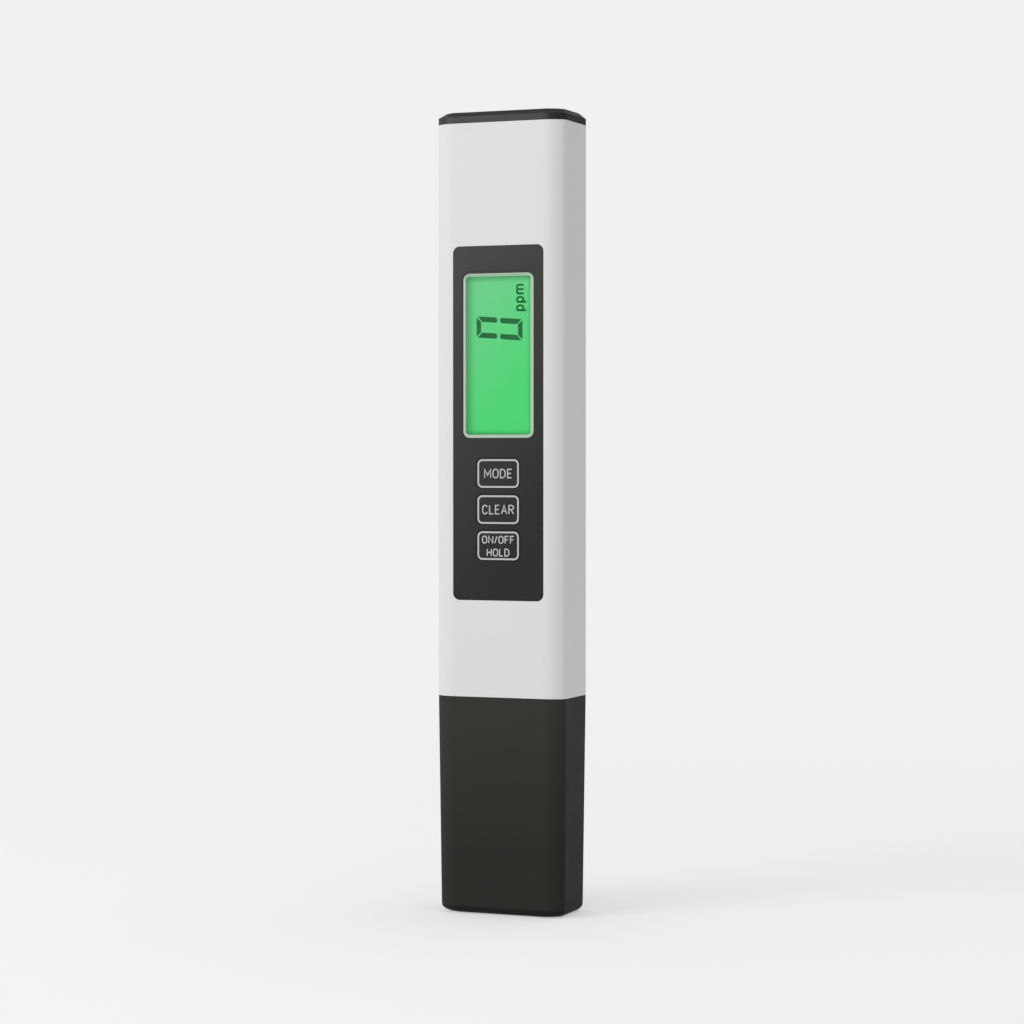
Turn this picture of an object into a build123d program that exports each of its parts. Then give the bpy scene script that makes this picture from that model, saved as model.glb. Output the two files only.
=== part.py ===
"""Pen shaped tester for dissolved solids in water, standing on its probe cap.

Millimetres. X runs across the pen, Y from the front face (negative) to the back, Z up.
The origin lies at the middle of the underside of the probe cap, where the pen stands.
"""
import os
from math import atan, cos, degrees, radians, sin, tan

from build123d import *

# Outside form, shared by the casing and both caps
overall_height = 154.0
body_width = 26.4
corner_width = 3.8  # reach of a rounded corner across the front
corner_depth = 2.25  # reach of the same corner along the side
side_radius = 1.3  # the tighter of its two arcs, next to the side

# Probe cap
cap_height = 41.9
cap_wall = 1.5
cap_floor = 2.0
cap_taper = 0.6  # degrees
cap_inner_radius = 1.6
cap_edge_width = 1.9
cap_edge_height = 1.5
edge_steps = 4

# Top cap, which covers the batteries
top_height = 2.2
top_band_height = 1.15
top_chamfer_width = 2.0
skirt_height = 4.0
skirt_wall = 1.3
skirt_play = 0.12
hold_down_width = 1.2
hold_down_depth = 4.0
hold_down_spacing = 6.0

# Casing
wall = 1.4
inner_radius = 1.8
rail_reach = 1.0
rail_thickness = 0.8
rail_play = 0.1
rail_end_gap = 2.0

# Front panel, window trim and lens
panel_side = 0.12  # flat of the front face left on each side of the panel
panel_drop = 2.5  # how far the panel's middle lies below the casing's
panel_foot = 7.65  # panel below the last key
panel_radius = 1.3
panel_thickness = 0.5
panel_play = 0.06
trim_side = 1.93  # panel on each side of the trim
trim_drop = 4.85  # panel above the trim
trim_height = 31.85
trim_line = 0.66
trim_radius = 1.3
lens_margin = 0.7
lens_thickness = 0.8
lens_play = 0.1

# Display stack behind the lens
display_gap = 0.1
lcd_thickness = 1.3
guide_thickness = 1.5
lcd_margin = 1.8
light_margin = 1.3
light_margin_low = 1.2
light_margin_high = 0.75
strip_height = 1.5
strip_margin = 1.0
stack_gap = 0.15
led_width = 3.0
led_height = 1.2
led_depth = 1.0
led_spacing = 8.0
carrier_wall = 0.9
carrier_side = 1.0
carrier_play = 0.1
ear_width = 3.8
ear_height = 5.5
ear_skin = 0.4

# Keys and their switches
key_drop = 3.86  # panel between the trim and the first key
key_pitch = 6.9
key_side = 4.83  # panel on each side of a key
key_height = 5.7
key_radius = 1.1
key_count = 3
key_play = 0.12
key_travel = 0.25
flange_margin = 0.33
flange_thickness = 0.6
flange_gap = 0.05
stem_diameter = 3.0
switch_size = 4.6
switch_height = 1.5
terminal_reach = 0.8
terminal_height = 0.6
terminal_thickness = 0.3
plunger_diameter = 2.3
plunger_play = 0.12
plunger_rise = 0.4
plunger_sink = 0.85

# Main board and what is soldered to it
board_thickness = 1.0
board_side_gap = 0.3
board_foot_gap = 4.6
board_head_gap = 1.3
board_corner = 0.5
chip_size = 7.0
chip_thickness = 1.3
chip_drop = 12.0
lead_count = 8
lead_pitch = 0.75
lead_width = 0.3
lead_reach = 1.0
lead_thickness = 0.2
crystal_diameter = 2.0
crystal_length = 6.0
crystal_offset = 6.6
part_length = 1.6
part_width = 0.9
part_thickness = 0.6
part_spacing_x = 3.2
part_spacing_z = 2.6
part_columns = 4
part_rows = 3
part_drop = 14.0

# Screws that hold the display carrier to the board
screw_diameter = 1.3
screw_length = 3.0
screw_head_diameter = 2.2
screw_head_height = 0.7
screw_play = 0.05
screw_slot_width = 0.4
screw_slot_depth = 0.3

# Button cells, their holder and contacts
cell_diameter = 11.6
cell_thickness = 5.4
cell_step = 0.8
cell_face_diameter = 9.4
cell_side_play = 0.15
cell_gap = 0.1
holder_wall = 0.9
holder_side = 1.0
holder_floor = 1.0
holder_rim = 1.1
holder_head_gap = 0.6
back_gap = 0.2
contact_width = 5.0
contact_length = 7.0
contact_thickness = 0.3
contact_play = 0.1
contact_foot = 1.5
dimple_diameter = 2.4
dimple_height = 0.2
link_overlap = 3.0

# Probe base with its plug, neck and guard
plug_height = 10.0
plug_floor = 3.0
plug_wall = 1.5
plug_play = 0.08
neck_play = 0.25
neck_radius = 1.7
guard_floor_gap = 4.5
guard_leg = 3.8
guard_gap_radius = 2.0
guard_tip = 0.8
seal_drop = 5.4
seal_height = 1.6
seal_groove = 0.9
seal_play = 0.08
pin_diameter = 2.0
pin_spacing = 7.2
pin_recess = 5.1
pin_exposed = 12.4
pin_tail = 3.6
pin_tip = 0.35
bore_play = 0.03
sensor_diameter = 3.0
sensor_exposed = 6.5
sensor_tail = 1.6
sensor_tip = 0.7
lead_diameter = 0.8
lead_pad_spacing = 3.0
lead_pad_length = 2.5
lead_bend = 1.2
lead_clear = 0.03
lead_gap = 0.1

# Heights and depths that follow from the sizes above
casing_high = overall_height - top_height
casing_length = casing_high - cap_height
display_depth = display_gap + lcd_thickness + guide_thickness + board_thickness
battery_depth = 2 * holder_wall + 2 * dimple_height + cell_thickness
inner_depth = display_depth + battery_depth + back_gap
inner_width = body_width - 2 * wall
body_depth = inner_depth + 2 * wall
front_face = -body_depth / 2
inner_front = front_face + wall
panel_back = front_face + panel_thickness
panel_width = body_width - 2 * corner_width - 2 * panel_side
trim_width = panel_width - 2 * trim_side
key_width = panel_width - 2 * key_side
key_column = key_height + (key_count - 1) * key_pitch
panel_height = trim_drop + trim_height + key_drop + key_column + panel_foot
panel_middle = (cap_height + casing_high) / 2 - panel_drop
panel_high = panel_middle + panel_height / 2
window_middle = panel_high - trim_drop - trim_height / 2
first_key_height = window_middle - trim_height / 2 - key_drop - key_height / 2
window_width = trim_width - 2 * trim_line
window_height = trim_height - 2 * trim_line
window_low = window_middle - window_height / 2
window_high = window_middle + window_height / 2
lens_width = trim_width + 2 * lens_margin
lens_height = trim_height + 2 * lens_margin
lcd_width = window_width + 2 * lcd_margin
guide_width = window_width + 2 * light_margin
strip_width = lcd_width - 2 * strip_margin
guide_low = window_low - light_margin_low
guide_high = window_high + light_margin_high
lcd_low = guide_low - stack_gap - strip_height
lcd_high = guide_high + stack_gap + led_height
lcd_front = inner_front + display_gap
guide_front = lcd_front + lcd_thickness
board_front = guide_front + guide_thickness
board_back = board_front + board_thickness
carrier_width = lcd_width + 2 * (carrier_play + carrier_side)
carrier_low = lcd_low - carrier_play - carrier_wall
carrier_high = lcd_high + carrier_play + carrier_wall
screw_offset = (carrier_width - ear_width) / 2
screw_middle = carrier_low - ear_height / 2
channel_front = board_back + holder_wall
cell_front = channel_front + dimple_height
cell_back = cell_front + cell_thickness
channel_back = cell_back + dimple_height
holder_back = channel_back + holder_wall
skirt_low = casing_high - skirt_height
holder_high = skirt_low - holder_head_gap
high_cell_middle = holder_high - holder_rim - cell_diameter / 2
low_cell_middle = high_cell_middle - cell_diameter - cell_gap
holder_low = low_cell_middle - cell_diameter / 2 - cell_side_play - holder_floor
chip_middle = holder_low - chip_drop
part_middle = chip_middle - part_drop
board_low = cap_height + plug_height + board_foot_gap
board_high = skirt_low - board_head_gap
guard_low = cap_floor + guard_floor_gap
pin_low = guard_low + pin_recess
pin_high = cap_height + plug_floor + pin_tail
shoulder_height = pin_low + pin_exposed
sensor_low = shoulder_height - sensor_exposed
sensor_high = cap_height + plug_floor + sensor_tail
seal_low = cap_height - seal_drop - seal_height / 2
top_seal_low = skirt_low + (skirt_height - seal_height) / 2
rail_low = cap_height + plug_height + rail_end_gap
rail_high = skirt_low - rail_end_gap
flange_front = inner_front + flange_gap
flange_back = flange_front + flange_thickness
flange_size = (key_width + 2 * flange_margin, key_height + 2 * flange_margin)
key_opening = (key_width + 2 * key_play, key_height + 2 * key_play)
key_opening_radius = key_radius + key_play
switch_front = board_front - switch_height
plunger_front = switch_front - plunger_rise

# The corner is a wide arc next to the front and a tight one next to the side
corner_turn = 2 * atan((corner_depth - side_radius) / (corner_width - side_radius))
face_radius = side_radius + (corner_width - side_radius) / sin(corner_turn)
corner_arcs = ((face_radius, degrees(corner_turn)), (side_radius, 90 - degrees(corner_turn)))


def cap_inset(height):
    """How far the tapered cap has drawn in at this height, on each side."""
    return (cap_height - height) * tan(radians(cap_taper))


def front_plane(depth):
    """Plane parallel to the front face at this Y, with X to the right and Z up."""
    return Plane.XZ.offset(-depth)


def pen_outline(inset=0.0):
    """Face with the pen's outside section, drawn in by the same amount on each side."""
    half_width = body_width / 2 - inset
    half_depth = body_depth / 2 - inset
    flat_width = 2 * (half_width - corner_width)
    flat_depth = 2 * (half_depth - corner_depth)
    with BuildLine() as outline:
        run = Line((-flat_width / 2, -half_depth), (flat_width / 2, -half_depth))
        for corner, flat in enumerate((flat_depth, flat_width, flat_depth, 0)):
            arcs = corner_arcs if corner % 2 == 0 else corner_arcs[::-1]
            for radius, turn in arcs:
                run = JernArc(run @ 1, run % 1, radius, turn)
            if flat:
                run = PolarLine(run @ 1, flat, direction=run % 1)
    make_face(outline.edges())


def plate(size, middle, front, back, radius=0.0, mode=Mode.ADD):
    """Plate parallel to the front face, from one Y to another, round its middle (X, Z)."""
    with BuildSketch(front_plane(front)) as profile:
        with Locations(middle):
            if radius:
                RectangleRounded(size[0], size[1], radius)
            else:
                Rectangle(size[0], size[1])
    extrude(profile.sketch, amount=front - back, mode=mode)


def tube_section(height, width, depth, radius, amount, mode=Mode.ADD):
    """Upright block of rounded rectangular section, from this height by this amount."""
    with BuildSketch(Plane.XY.offset(height)) as profile:
        RectangleRounded(width, depth, radius)
    extrude(profile.sketch, amount=amount, mode=mode)


def ring_section(height, outer, inner, amount, mode=Mode.ADD):
    """Upright ring between two rounded rectangles, each given as width, depth, radius."""
    with BuildSketch(Plane.XY.offset(height)) as profile:
        RectangleRounded(*outer)
        RectangleRounded(*inner, mode=Mode.SUBTRACT)
    extrude(profile.sketch, amount=amount, mode=mode)


def inset_section(width, depth, radius, inset):
    """Width, depth and corner radius of a rounded rectangle drawn in all round."""
    return width - 2 * inset, depth - 2 * inset, radius - inset


def key_heights():
    """Names of the keys with the height of each one's middle, from the top down."""
    names = ("mode", "clear", "power")[:key_count]
    return [(name, first_key_height - row * key_pitch) for row, name in enumerate(names)]


def finish(piece, name):
    """Label one finished piece and write it to the folder of parts."""
    piece.part.label = name
    export_step(piece.part, f"parts/{name}.step")


# Sections that two pieces share
skirt_outer = inset_section(inner_width, inner_depth, inner_radius, skirt_play)
skirt_inner = inset_section(*skirt_outer, skirt_wall)
top_groove_section = inset_section(*skirt_outer, skirt_wall / 2)
neck_inset = cap_wall + cap_inset(0) + neck_play
neck = (body_width - 2 * neck_inset, body_depth - 2 * neck_inset, neck_radius)
neck_groove = inset_section(*neck, seal_groove)

os.makedirs("parts", exist_ok=True)

# Probe cap: tapered cup with a rounded lower edge
with BuildPart() as probe_cap:
    for height in (cap_edge_height, cap_height):
        with BuildSketch(Plane.XY.offset(height)):
            pen_outline(cap_inset(height))
    loft(ruled=True)
    for step in range(edge_steps + 1):
        angle = radians(90 * step / edge_steps)
        with BuildSketch(Plane.XY.offset(cap_edge_height * (1 - sin(angle)))):
            pen_outline(cap_inset(cap_edge_height) + cap_edge_width * (1 - cos(angle)))
    loft(ruled=True)
    for height in (cap_floor, cap_height):
        inset = cap_wall + cap_inset(height)
        with BuildSketch(Plane.XY.offset(height)):
            RectangleRounded(body_width - 2 * inset, body_depth - 2 * inset, cap_inner_radius)
    loft(ruled=True, mode=Mode.SUBTRACT)
finish(probe_cap, "probe_cap")

# Casing: open tube with board rails inside, a panel recess, a window and key openings
with BuildPart() as casing:
    with BuildSketch(Plane.XY.offset(cap_height)):
        pen_outline()
    extrude(amount=casing_length)
    tube_section(cap_height, inner_width, inner_depth, inner_radius, casing_length, Mode.SUBTRACT)
    rail_root = wall / 2
    rail_middle = inner_width / 2 + (rail_root - rail_reach) / 2
    with BuildSketch(Plane.XY.offset(rail_low)):
        for depth in (board_front - rail_play - rail_thickness, board_back + rail_play):
            for side in (-1, 1):
                with Locations((side * rail_middle, depth + rail_thickness / 2)):
                    Rectangle(rail_reach + rail_root, rail_thickness)
    extrude(amount=rail_high - rail_low)
    recess = (panel_width + 2 * panel_play, panel_height + 2 * panel_play)
    recess_radius = panel_radius + panel_play
    plate(recess, (0, panel_middle), front_face, panel_back, recess_radius, Mode.SUBTRACT)
    opening = (lens_width + 2 * lens_play, lens_height + 2 * lens_play)
    opening_radius = trim_radius + lens_play
    plate(opening, (0, window_middle), panel_back, inner_front, opening_radius, Mode.SUBTRACT)
    for name, height in key_heights():
        plate(key_opening, (0, height), panel_back, inner_front, key_opening_radius, Mode.SUBTRACT)
finish(casing, "casing")

# Front panel: thin dark plate let into the recess, cut out for the window and the keys
with BuildPart() as front_panel:
    plate((panel_width, panel_height), (0, panel_middle), front_face, panel_back, panel_radius)
    cut = (trim_width + 2 * panel_play, trim_height + 2 * panel_play)
    cut_radius = trim_radius + panel_play
    plate(cut, (0, window_middle), front_face, panel_back, cut_radius, Mode.SUBTRACT)
    for name, height in key_heights():
        plate(key_opening, (0, height), front_face, panel_back, key_opening_radius, Mode.SUBTRACT)
finish(front_panel, "front_panel")

# Window trim: narrow pale frame level with the panel, glued to the lens
with BuildPart() as window_trim:
    plate((trim_width, trim_height), (0, window_middle), front_face, panel_back, trim_radius)
    window = (window_width, window_height)
    inner_trim_radius = trim_radius - trim_line
    plate(window, (0, window_middle), front_face, panel_back, inner_trim_radius, Mode.SUBTRACT)
finish(window_trim, "window_trim")

# Lens: clear plate behind the panel and the trim
with BuildPart() as display_lens:
    lens_back = panel_back + lens_thickness
    plate((lens_width, lens_height), (0, window_middle), panel_back, lens_back, trim_radius)
finish(display_lens, "display_lens")

# Display cell: rear glass with a contact ledge below the shorter front glass
with BuildPart() as lcd_glass:
    lcd_split = lcd_front + lcd_thickness / 2
    front_low = lcd_low + strip_height
    front_size = (lcd_width, lcd_high - front_low)
    plate(front_size, (0, (lcd_high + front_low) / 2), lcd_front, lcd_split)
    plate((lcd_width, lcd_high - lcd_low), (0, (lcd_high + lcd_low) / 2), lcd_split, guide_front)
finish(lcd_glass, "lcd_glass")

# Light guide behind the display, lit from its upper edge
with BuildPart() as light_guide:
    guide_middle = (guide_low + guide_high) / 2
    plate((guide_width, guide_high - guide_low), (0, guide_middle), guide_front, board_front)
finish(light_guide, "light_guide")

with BuildPart() as backlight_leds:
    led_middle = guide_high + stack_gap + led_height / 2 - carrier_play
    for side in (-1, 1):
        middle = (side * led_spacing / 2, led_middle)
        plate((led_width, led_height), middle, board_front - led_depth, board_front)
finish(backlight_leds, "backlight_leds")

# Rubber connector strip between the display's ledge and the board
with BuildPart() as connector_strip:
    strip_middle = lcd_low + strip_height / 2
    plate((strip_width, strip_height), (0, strip_middle), guide_front, board_front)
finish(connector_strip, "connector_strip")

# Display carrier: frame round the display with an ear for a screw on each side of the keys
with BuildPart() as display_carrier:
    pocket = (lcd_width + 2 * carrier_play, lcd_high - lcd_low + 2 * carrier_play)
    carrier_size = (carrier_width, carrier_high - carrier_low)
    carrier_front = lcd_front - display_gap / 2
    ear_front = board_front - (screw_length - board_thickness) - screw_play - ear_skin
    plate(carrier_size, (0, (carrier_high + carrier_low) / 2), carrier_front, board_front)
    pocket_middle = (0, (lcd_high + lcd_low) / 2)
    plate(pocket, pocket_middle, carrier_front, board_front, 0, Mode.SUBTRACT)
    for side in (-1, 1):
        ear_middle = (side * screw_offset, screw_middle)
        plate((ear_width, ear_height), ear_middle, ear_front, board_front)
    with BuildSketch(front_plane(board_front)):
        with Locations((-screw_offset, screw_middle), (screw_offset, screw_middle)):
            Circle(screw_diameter / 2 + screw_play)
    extrude(amount=screw_length - board_thickness + screw_play, mode=Mode.SUBTRACT)
finish(display_carrier, "display_carrier")

with BuildPart() as carrier_screws:
    for side in (-1, 1):
        middle = (side * screw_offset, screw_middle)
        with BuildSketch(front_plane(board_back)):
            with Locations(middle):
                Circle(screw_head_diameter / 2)
        extrude(amount=-screw_head_height)
        with BuildSketch(front_plane(board_back)):
            with Locations(middle):
                Circle(screw_diameter / 2)
        extrude(amount=screw_length)
        slot_floor = board_back + screw_head_height - screw_slot_depth
        slot = (screw_slot_width, screw_head_diameter)
        plate(slot, middle, slot_floor, board_back + screw_head_height, 0, Mode.SUBTRACT)
finish(carrier_screws, "carrier_screws")

# Main board with the parts soldered to its back
with BuildPart() as main_board:
    board_width = inner_width - 2 * board_side_gap
    board_middle = (board_low + board_high) / 2
    board_size = (board_width, board_high - board_low)
    plate(board_size, (0, board_middle), board_front, board_back, board_corner)
    with BuildSketch(front_plane(board_back)):
        with Locations((-screw_offset, screw_middle), (screw_offset, screw_middle)):
            Circle(screw_diameter / 2 + screw_play)
    extrude(amount=board_thickness, mode=Mode.SUBTRACT)
finish(main_board, "main_board")

with BuildPart() as microcontroller:
    body_low = board_back + lead_thickness
    chip_back = board_back + chip_thickness
    plate((chip_size, chip_size), (0, chip_middle), body_low, chip_back)
    for side in (-1, 1):
        with BuildSketch(front_plane(board_back)):
            with Locations((side * (chip_size + lead_reach) / 2, chip_middle)):
                with GridLocations(0, lead_pitch, 1, lead_count):
                    Rectangle(lead_reach, lead_width)
        extrude(amount=-(body_low - board_back + lead_thickness))
        with BuildSketch(front_plane(body_low)):
            with Locations((side * chip_size / 2, chip_middle)):
                with GridLocations(0, lead_pitch, 1, lead_count):
                    Rectangle(lead_reach, lead_width)
        extrude(amount=-lead_thickness)
finish(microcontroller, "microcontroller")

with BuildPart() as crystal:
    with BuildSketch(Plane.XY.offset(chip_middle - crystal_length / 2)):
        with Locations((-crystal_offset, board_back + crystal_diameter / 2)):
            Circle(crystal_diameter / 2)
    extrude(amount=crystal_length)
finish(crystal, "crystal")

with BuildPart() as chip_components:
    with BuildSketch(front_plane(board_back)):
        with Locations((0, part_middle)):
            with GridLocations(part_spacing_x, part_spacing_z, part_columns, part_rows):
                Rectangle(part_length, part_width)
    extrude(amount=-part_thickness)
finish(chip_components, "chip_components")

# Three keys, each over its own switch with a sprung plunger
for name, height in key_heights():
    with BuildPart() as key:
        plate((key_width, key_height), (0, height), front_face, flange_front, key_radius)
        plate(flange_size, (0, height), flange_front, flange_back)
        with BuildSketch(front_plane(flange_back)):
            with Locations((0, height)):
                Circle(stem_diameter / 2)
        extrude(amount=flange_back - plunger_front)
    finish(key, f"{name}_key")

    with BuildPart() as plunger:
        with BuildSketch(front_plane(plunger_front)):
            with Locations((0, height)):
                Circle(plunger_diameter / 2)
        extrude(amount=-(plunger_rise + plunger_sink))
    finish(plunger, f"{name}_plunger")

    with BuildPart() as switch:
        plate((switch_size, switch_size), (0, height), switch_front, board_front)
        with BuildSketch(front_plane(switch_front)):
            with Locations((0, height)):
                Circle(plunger_diameter / 2 + plunger_play)
        extrude(amount=-(plunger_sink + key_travel + plunger_play), mode=Mode.SUBTRACT)
        terminal_front = board_front - terminal_thickness
        terminal_middle = (switch_size + terminal_reach) / 2
        for side in (-1, 1):
            for end in (-1, 1):
                middle = (side * terminal_middle, height + end * switch_size / 3)
                plate((terminal_reach, terminal_height), middle, terminal_front, board_front)
    finish(switch, f"{name}_switch")

# Battery holder: slot open at the top, with windows for the contacts
with BuildPart() as battery_holder:
    channel_width = cell_diameter + 2 * cell_side_play
    holder_width = channel_width + 2 * holder_side
    holder_size = (holder_width, holder_high - holder_low)
    plate(holder_size, (0, (holder_high + holder_low) / 2), board_back, holder_back)
    with BuildSketch(front_plane(channel_front)):
        with Locations((0, low_cell_middle)):
            Circle(channel_width / 2)
        with Locations((0, (low_cell_middle + holder_high) / 2)):
            Rectangle(channel_width, holder_high - low_cell_middle)
    extrude(amount=channel_front - channel_back, mode=Mode.SUBTRACT)
    for height in (low_cell_middle, high_cell_middle):
        window = (contact_width + 2 * contact_play, contact_length + 2 * contact_play)
        plate(window, (0, height), board_back, channel_front, 0, Mode.SUBTRACT)
    link_size = (contact_width, high_cell_middle - low_cell_middle + 2 * link_overlap)
    link_window = (link_size[0] + 2 * contact_play, link_size[1] + 2 * contact_play)
    link_middle = (low_cell_middle + high_cell_middle) / 2
    link_back = channel_back + contact_thickness
    plate(link_window, (0, link_middle), channel_back, link_back, 0, Mode.SUBTRACT)
finish(battery_holder, "battery_holder")

# Two button cells in a row, the upper one turned round so that the link joins them
for name, height, turned in (
    ("lower_cell", low_cell_middle, False),
    ("upper_cell", high_cell_middle, True),
):
    with BuildPart() as cell:
        can_front = cell_front + cell_step if turned else cell_front
        with BuildSketch(front_plane(can_front)):
            with Locations((0, height)):
                Circle(cell_diameter / 2)
        extrude(amount=cell_step - cell_thickness)
        with BuildSketch(front_plane(cell_front)):
            with Locations((0, height)):
                Circle(cell_face_diameter / 2)
        extrude(amount=-cell_thickness)
    finish(cell, name)

# Contact plates towards the board, one at each cell, with a foot and a dimple
for name, height in (("positive_contact", low_cell_middle), ("negative_contact", high_cell_middle)):
    with BuildPart() as contact:
        plate_front = channel_front - contact_thickness
        plate((contact_width, contact_length), (0, height), plate_front, channel_front)
        foot_height = height - (contact_length - contact_foot) / 2
        plate((contact_width, contact_foot), (0, foot_height), board_back, plate_front)
        with BuildSketch(front_plane(channel_front)):
            with Locations((0, height)):
                Circle(dimple_diameter / 2)
        extrude(amount=-dimple_height)
    finish(contact, name)

with BuildPart() as link_contact:
    plate(link_size, (0, link_middle), channel_back, link_back)
    with BuildSketch(front_plane(channel_back)):
        with Locations((0, low_cell_middle), (0, high_cell_middle)):
            Circle(dimple_diameter / 2)
    extrude(amount=dimple_height)
finish(link_contact, "link_contact")

# Top cap: chamfered lid with a skirt, a seal groove and ribs that hold the cells down
with BuildPart() as top_cap:
    with BuildSketch(Plane.XY.offset(casing_high)):
        pen_outline()
    extrude(amount=top_band_height)
    for height, inset in ((casing_high + top_band_height, 0), (overall_height, top_chamfer_width)):
        with BuildSketch(Plane.XY.offset(height)):
            pen_outline(inset)
    loft(ruled=True)
    ring_section(skirt_low, skirt_outer, skirt_inner, skirt_height)
    ring_section(top_seal_low, skirt_outer, top_groove_section, seal_height, Mode.SUBTRACT)
    hold_down_low = high_cell_middle + cell_diameter / 2 + cell_side_play
    cell_middle = (cell_front + cell_back) / 2
    with BuildSketch(Plane.XY.offset(hold_down_low)):
        with Locations((0, cell_middle)):
            with GridLocations(hold_down_spacing, 0, 2, 1):
                Rectangle(hold_down_width, hold_down_depth)
    extrude(amount=casing_high - hold_down_low)
finish(top_cap, "top_cap")

with BuildPart() as top_seal:
    seal_outer = inset_section(inner_width, inner_depth, inner_radius, seal_play)
    ring_section(top_seal_low, seal_outer, top_groove_section, seal_height)
finish(top_seal, "top_seal")

# Probe base: hollow plug in the casing, neck for the cap and two guard legs beside the pins
with BuildPart() as probe_base:
    plug = inset_section(inner_width, inner_depth, inner_radius, plug_play)
    tube_section(cap_height, *plug, plug_height)
    hollow = inset_section(*plug, plug_wall)
    tube_section(cap_height + plug_floor, *hollow, plug_height - plug_floor, Mode.SUBTRACT)
    tube_section(guard_low, *neck, cap_height - guard_low)
    chamfer(probe_base.edges().group_by(Axis.Z)[0], guard_tip)
    gap_low = guard_low - guard_gap_radius - guard_tip
    gap_size = (neck[0] - 2 * guard_leg, shoulder_height - gap_low)
    gap_middle = (0, (shoulder_height + gap_low) / 2)
    plate(gap_size, gap_middle, front_face, -front_face, guard_gap_radius, Mode.SUBTRACT)
    ring_section(seal_low, neck, neck_groove, seal_height, Mode.SUBTRACT)
    with BuildSketch(Plane.XY.offset(shoulder_height)):
        with GridLocations(pin_spacing, 0, 2, 1):
            Circle(pin_diameter / 2 + bore_play)
        Circle(sensor_diameter / 2 + bore_play)
    extrude(amount=cap_height + plug_floor - shoulder_height, mode=Mode.SUBTRACT)
finish(probe_base, "probe_base")

with BuildPart() as neck_seal:
    seal_inset = cap_wall + cap_inset(seal_low) + seal_play
    neck_seal_outer = inset_section(body_width, body_depth, cap_inner_radius + seal_inset, seal_inset)
    ring_section(seal_low, neck_seal_outer, neck_groove, seal_height)
finish(neck_seal, "neck_seal")

# Measuring pins and the temperature sensor's sleeve between them
for side, name in ((-1, "left_pin"), (1, "right_pin")):
    with BuildPart() as pin:
        with BuildSketch(Plane.XY.offset(pin_low)):
            with Locations((side * pin_spacing / 2, 0)):
                Circle(pin_diameter / 2)
        extrude(amount=pin_high - pin_low)
        chamfer(pin.edges().group_by(Axis.Z)[0], pin_tip)
    finish(pin, name)

with BuildPart() as temperature_sensor:
    with BuildSketch(Plane.XY.offset(sensor_low)):
        Circle(sensor_diameter / 2)
    extrude(amount=sensor_high - sensor_low)
    chamfer(temperature_sensor.edges().group_by(Axis.Z)[0], sensor_tip)
finish(temperature_sensor, "temperature_sensor")

# Leads from the pins and the sensor to pads on the back of the board
with BuildPart() as sensor_leads:
    lead_depth = board_back + lead_diameter / 2 + lead_clear
    sensor_lead = sensor_diameter / 4
    starts = (
        (-pin_spacing / 2, pin_high),
        (-sensor_lead, sensor_high),
        (sensor_lead, sensor_high),
        (pin_spacing / 2, pin_high),
    )
    for number, (start_x, start_z) in enumerate(starts):
        pad_x = (number - (len(starts) - 1) / 2) * lead_pad_spacing
        pad_low = board_low + lead_bend
        with BuildLine():
            route = FilletPolyline(
                (start_x, 0, start_z + lead_gap),
                (pad_x, lead_depth, pad_low),
                (pad_x, lead_depth, pad_low + lead_pad_length),
                radius=lead_bend,
            )
        with BuildSketch(Plane(origin=route @ 0, z_dir=route % 0)):
            Circle(lead_diameter / 2)
        sweep(path=route)
finish(sensor_leads, "sensor_leads")
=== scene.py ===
"""Looks of the pen tester: finishes, printed marks, the lit display, light and camera.

Metres. X runs across the pen, Y from its front face (negative) to its back, Z up.
"""
from math import atan, cos, degrees, hypot, pi, radians, sin, tan

import bmesh
import bpy
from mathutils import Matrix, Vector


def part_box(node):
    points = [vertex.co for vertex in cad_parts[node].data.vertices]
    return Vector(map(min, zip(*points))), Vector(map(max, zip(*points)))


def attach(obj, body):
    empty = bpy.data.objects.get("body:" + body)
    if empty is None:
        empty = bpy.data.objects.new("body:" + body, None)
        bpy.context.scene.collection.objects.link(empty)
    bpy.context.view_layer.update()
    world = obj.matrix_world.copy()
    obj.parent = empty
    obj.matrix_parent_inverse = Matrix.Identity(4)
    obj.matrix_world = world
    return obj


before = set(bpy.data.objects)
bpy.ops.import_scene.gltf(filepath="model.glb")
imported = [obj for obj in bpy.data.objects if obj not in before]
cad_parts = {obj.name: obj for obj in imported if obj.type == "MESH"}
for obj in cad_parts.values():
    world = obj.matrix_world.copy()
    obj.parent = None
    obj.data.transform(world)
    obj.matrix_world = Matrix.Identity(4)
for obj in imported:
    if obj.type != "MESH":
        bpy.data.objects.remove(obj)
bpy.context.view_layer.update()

MM = 0.001

# Camera of the photograph
CAMERA_PLACE = (210.86 * MM, -515.604 * MM, 87.445 * MM)
CAMERA_TURN = 22.249  # degrees, to the right of the pen's front
CAMERA_DIP = 1.046  # degrees below the horizon
CAMERA_LENS = 101.3
CAMERA_SENSOR = 36.0
CAMERA_NEAR = 0.01

# Studio
BACKGROUND = 0.879  # the pale studio grey that the camera sees
MIRROR_RIGHT = 0.08  # what glossy surfaces see of the studio on the right
MIRROR_SIDEWAYS = (-0.35, 0.42)  # sideways from where to where it darkens, -1 left to 1 right
MIRROR_ABOVE = 0.4  # share of its light left high above
MIRROR_UPWARD = (0.25, 0.65)  # upwards from where to where it darkens, 1 straight up

# Lamp
KEY_TURN = -36.0  # degrees from the pen's front, negative to the left
KEY_RISE = 22.0
KEY_DISTANCE = 0.9
KEY_AIM = 0.08  # height of the point that it faces
KEY_WIDTH = 0.5
KEY_HEIGHT = 0.45
KEY_POWER = 3.2

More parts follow.
